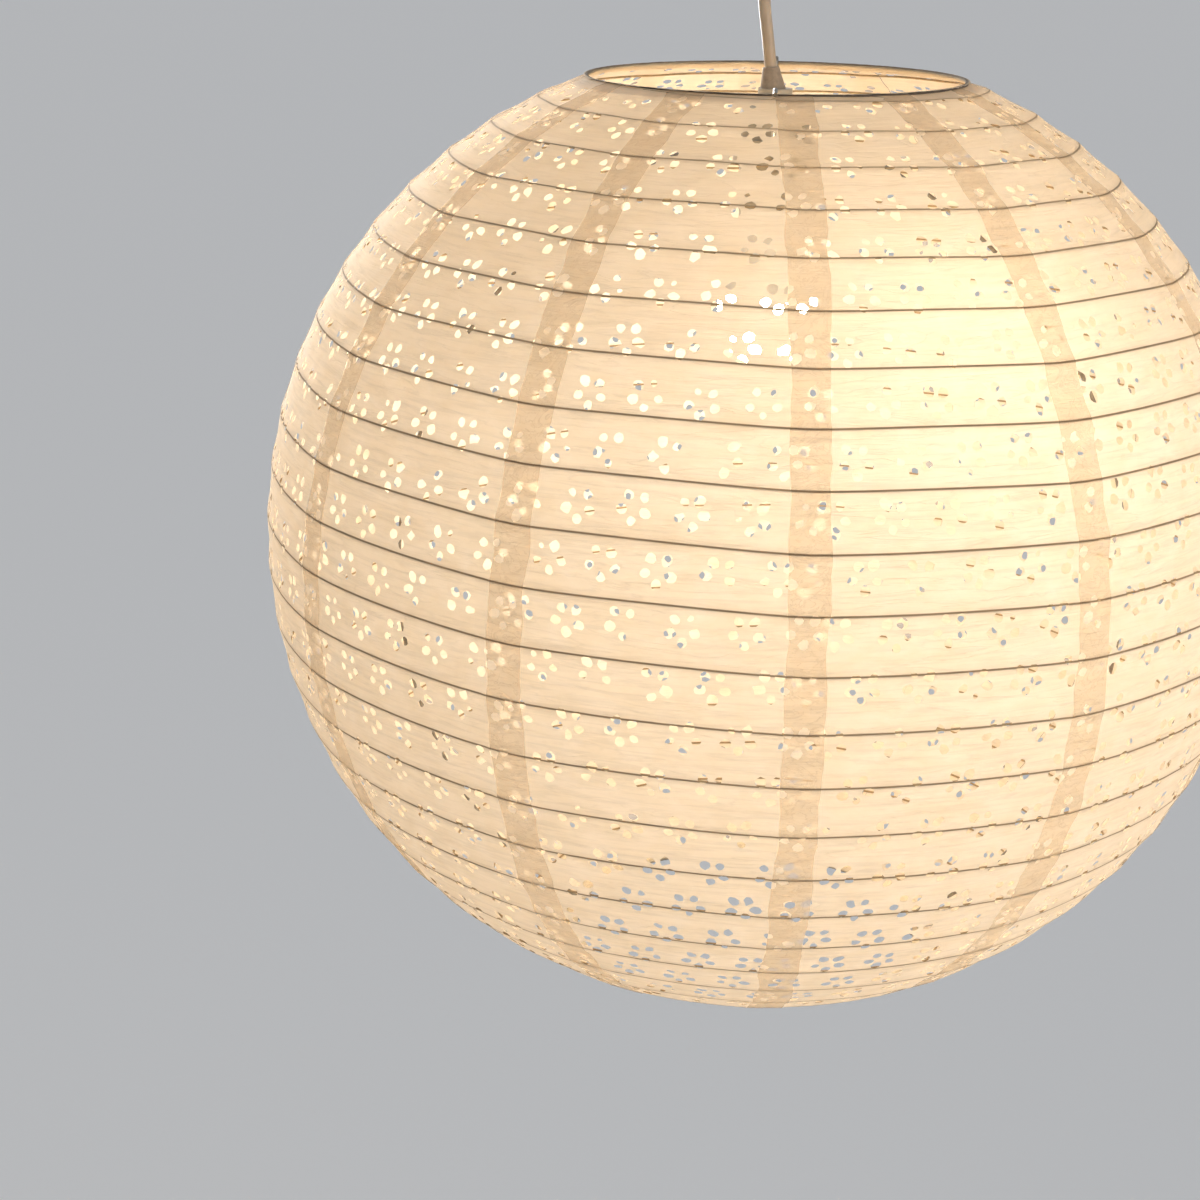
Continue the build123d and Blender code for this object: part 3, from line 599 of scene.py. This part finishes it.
def cut_gore(number):
    """Cut, pierce and hang one gore. In the flat, x runs round the shade and y down it."""
    centre = FIRST_SEAM + HALF * (2 * number + 1)

    def half_at(y):
        return reach_at(min(LENGTH, max(0, y))) * HALF + LAP

    def uneven(y, side, gore):
        rough = 0.0017 * noise.noise(Vector((y * 42, side * 5.3, gore * 2.3)))
        return rough + 0.0007 * noise.noise(Vector((y * 160, side * 7.7, gore * 1.7)))

    def cut_edge(y, side):
        return side * (half_at(y) + uneven(y, side, number))

    def lap_from(y):
        """Where the next gore's cut edge lies under this one."""
        return half_at(y) - 2 * LAP - uneven(y, -1, (number + 1) % GORES)

    def end_of_sheet(y, side):
        """Points along one end of the sheet, from this side's cut edge to the other's."""
        near_edge, far_edge = cut_edge(y, side), cut_edge(y, -side)
        return [(near_edge + (far_edge - near_edge) * i / END_STEPS, y) for i in range(1, END_STEPS)]

    def bearing_of(x, y):
        return centre + x / reach_at(y)

    flat, seams = [], []
    top, bottom = END_TRIM, LENGTH - END_TRIM
    rows = int((bottom - top) / EDGE_STEP)
    levels = [top + (bottom - top) * i / rows for i in range(rows + 1)]
    rim = [(cut_edge(y, 1), y) for y in levels]
    back = [(cut_edge(y, -1), y) for y in reversed(levels)]
    rim += end_of_sheet(bottom, 1) + back + end_of_sheet(top, -1)
    flat += rim
    faces = [list(range(len(flat)))[::-1]]

    petals = flower_holes(half_at)
    near = kdtree.KDTree(len(petals))
    for i, (middle, _, loop) in enumerate(petals):
        near.insert((*middle, 0), i)
    near.balance()

    def free(x, y, room=0.0012):
        if abs(x) > half_at(y) - 0.0025 or not top + 0.0015 < y < bottom - 0.0015:
            return False
        _, i, away = near.find((x, y, 0))
        return away > petals[i][1] + room

    def lay(line):
        """Add a line that the paper is creased along."""
        first = len(flat)
        flat.extend(line)
        seams.extend((first + i, first + i + 1) for i in range(len(line) - 1))

    lay([(lap_from(y), y) for y in levels[1:-1]])
    turn = (centre - RIB_START) % math.tau / math.tau - 1
    while True:
        line = []
        for i in range(2 * CREASE_STEPS + 1):
            share = 1.01 * (i / CREASE_STEPS - 1)
            y = rib_down(turn)
            for _ in range(3):
                x = share * half_at(y)
                turns = turn + (bearing_of(x, y) - centre) / math.tau
                y = rib_down(turns) if turns < RIB_TURNS else bottom
            line.append((x, y))
        if line[0][1] > bottom - 0.003 and line[-1][1] > bottom - 0.003:
            break
        kept = [p for p in line if top + 0.002 < p[1] < bottom - 0.002]
        if len(kept) > 1 and max(abs(a[1] - b[1]) for a, b in zip(kept, kept[1:])) < 0.01:
            lay(kept)
        turn += 1

    y = top + 0.004
    odd = 0
    while y < bottom - 0.003:
        width = half_at(y)
        count = max(4, int(2 * width / LOOSE_GAP))
        for i in range(count):
            x = -width + 2 * width * (i + 0.5 + 0.25 * (odd % 2) - 0.125) / count
            if free(x, y):
                flat.append((x, y))
        y += LOOSE_ROW
        odd += 1

    for _, _, loop in petals:
        faces.append(list(range(len(flat), len(flat) + len(loop)))[::-1])
        flat.extend(loop)

    spots, _, cells, _, _, kinds = geometry.delaunay_2d_cdt(
        [Vector((x, -y)) for x, y in flat], seams, faces, 1, 1e-7, True
    )
    kept = [tuple(cell) for cell, kind in zip(cells, kinds) if kind == [0]]
    used = sorted({i for cell in kept for i in cell})
    again = {old: new for new, old in enumerate(used)}
    places = []
    for i in used:
        x, y = spots[i].x, min(bottom, max(top, -spots[i].y))
        bearing = bearing_of(x, y)
        crumple = 0.00016 * noise.noise(Vector((x * 70, y * 260, number * 3.7)))
        crumple += 0.00025 * noise.noise(Vector((x * 25, y * 60, number * 1.9)))
        places.append(on_shade(bearing, y, sheet_depth(bearing, y, x, half_at(y)) + crumple))
    shape = bpy.data.meshes.new(f"gore_{number + 1:02d}_paper")
    shape.from_pydata(places, [], [[again[i] for i in cell] for cell in kept])
    chart = shape.uv_layers.new(name="sheet")
    column, flipped = number % 5, number // 5  # the sheets' maps lie side by side, five to a row
    for loop in shape.loops:
        spot = spots[used[loop.vertex_index]]
        v = 1 + spot.y if flipped % 2 == 0 else -spot.y
        chart.data[loop.index].uv = (0.1 + 0.2 * column + spot.x, v - 0.13 * (flipped > 1))
    shape.materials.append(shade_paper)
    shape.materials.append(lapped_paper)
    for face, cell in zip(shape.polygons, kept):
        x = sum(spots[i].x for i in cell) / 3
        y = -sum(spots[i].y for i in cell) / 3
        face.material_index = int(x > lap_from(y))
        face.use_smooth = True
    distances = shape.attributes.new("rib_distance", "FLOAT", "POINT")
    millimetres = [1000 * rib_away(bearing_of(spots[i].x, -spots[i].y), -spots[i].y) for i in used]
    distances.data.foreach_set("value", millimetres)
    hung = bpy.data.objects.new(shape.name, shape)
    bpy.context.collection.objects.link(hung)
    return hung


for number in range(GORES):
    gore = cut_gore(number)
    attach(gore, "pendant")
    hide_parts(f"gore_{number + 1:02d}")
    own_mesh(gore)

# ---------------------------------------------------------------- hems
# A strip of the same paper is folded over each mouth ring and glued down on both sides. Outside it is torn
# off short and frays, and inside its tail is longer. Over the wire it is painted dark brown: painted shadow of
# the ring wire under the paper.
HEM_OUT, HEM_TAIL, HEM_ROUND, HEM_STEPS = 0.0014, 0.0095, 0.00112, 300
# painted shadow of the ring wire: how dark the paper over the ring is painted, from the outside in, and its
# tone
RING_SHADOW_SHARES = (0.95, 0.95, 0.7, 0.3, 0.1, 0.05)  # how brown it is over the wire, from the outside in
HEM_TONES, RING_SHADOW_TONE = ((0.86, 0.74, 0.56), (0.92, 0.82, 0.65)), (0.13, 0.085, 0.05)
hem_paper = paper("folded rim paper", HEM_TONES, clear=0, creases=0.0012, ribbed=False, crinkled=0.4)
tree = hem_paper.node_tree
# painted shadow of the ring wire: the folded paper is painted dark over the wire by the share in this attribute
soak_and_ring_shadow = tree.nodes.new("ShaderNodeAttribute")
soak_and_ring_shadow.attribute_name = "ring_shadow_share"
for shader in [n for n in tree.nodes if n.type in ("BSDF_PRINCIPLED", "BSDF_TRANSLUCENT")]:
    socket = shader.inputs["Base Color" if shader.type == "BSDF_PRINCIPLED" else "Color"]
    ring_shadow_mix = tree.nodes.new("ShaderNodeMix")
    ring_shadow_mix.data_type = "RGBA"
    ring_shadow_mix.inputs["B"].default_value = (*RING_SHADOW_TONE, 1)
    tree.links.new(socket.links[0].from_socket, ring_shadow_mix.inputs["A"])
    tree.links.new(soak_and_ring_shadow.outputs["Fac"], ring_shadow_mix.inputs["Factor"])
    tree.links.new(ring_shadow_mix.outputs["Result"], socket)

for name, up, body in (("top_hem", 1, "pendant"), ("bottom_hem", -1, "bottom_mouth")):
    ring_z = MIDDLE + up * (ARC - RING_INSET) * math.sin(EDGE)
    spots, ring_shadow_share, faces = [], [], []
    for i in range(HEM_STEPS):
        bearing = math.tau * i / HEM_STEPS
        at = Vector((math.cos(bearing), math.sin(bearing), up))
        torn = 0.5 + 0.5 * noise.noise(at * 9) + 0.5 * noise.noise(at * 38)
        frayed = HEM_OUT * (0.5 + 0.9 * torn) + (0.0012 if i % 3 == 0 else 0) * max(0, noise.noise(at * 3))
        tail = HEM_TAIL * (0.9 + 0.2 * noise.noise(at * 12 + Vector((4, 0, 0))))
        profile = [(0.0015, frayed, 0.1), (0.0015, frayed * 0.5, 0.25), (0.0013, 0.0002, 0.9)]
        for j, ring_shaded in enumerate(RING_SHADOW_SHARES):
            a = math.pi * (j + 0.5) / len(RING_SHADOW_SHARES)
            profile.append((HEM_ROUND * math.cos(a), -HEM_ROUND * math.sin(a), ring_shaded))
        profile += [(-HEM_ROUND, 0.0005, 0.06), (-HEM_ROUND, tail * 0.5, 0), (-HEM_ROUND, tail, 0)]
        for j, (normal, along, ring_shaded) in enumerate(profile):
            lumps = 0.00012 * noise.noise(at * 45 + Vector((0, 0, j * 0.7)))
            normal += lumps
            reach = RING_R + normal * math.cos(EDGE) + along * math.sin(EDGE)
            z = ring_z + up * (normal * math.sin(EDGE) - along * math.cos(EDGE))
            spots.append((reach * math.sin(bearing), -reach * math.cos(bearing), z))
            ring_shadow_share.append(ring_shaded * (0.85 + 0.3 * noise.noise(at * 14 + Vector((j, 0, 0)))))
    across = len(profile)
    for i in range(HEM_STEPS):
        for j in range(across - 1):
            a, b = i * across + j, (i + 1) % HEM_STEPS * across + j
            faces.append((a, b, b + 1, a + 1) if up < 0 else (a, a + 1, b + 1, b))
    shape = bpy.data.meshes.new(name + "_paper")
    shape.from_pydata(spots, [], faces)
    chart = shape.uv_layers.new(name="sheet")
    for face in shape.polygons:
        for k in face.loop_indices:
            row, j = divmod(shape.loops[k].vertex_index, across)
            if row == 0 and face.index >= (HEM_STEPS - 1) * (across - 1):
                row = HEM_STEPS
            chart.data[k].uv = (0.02 + 0.9 * row / HEM_STEPS, 0.3 + 0.0022 * j)
        face.use_smooth = True
    ring_shadow_values = shape.attributes.new("ring_shadow_share", "FLOAT", "POINT")
    ring_shadow_values.data.foreach_set("value", [min(1, max(0, g)) for g in ring_shadow_share])
    shape.materials.append(hem_paper)
    hem = bpy.data.objects.new(shape.name, shape)
    bpy.context.collection.objects.link(hem)
    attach(hem, body)
    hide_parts(name)
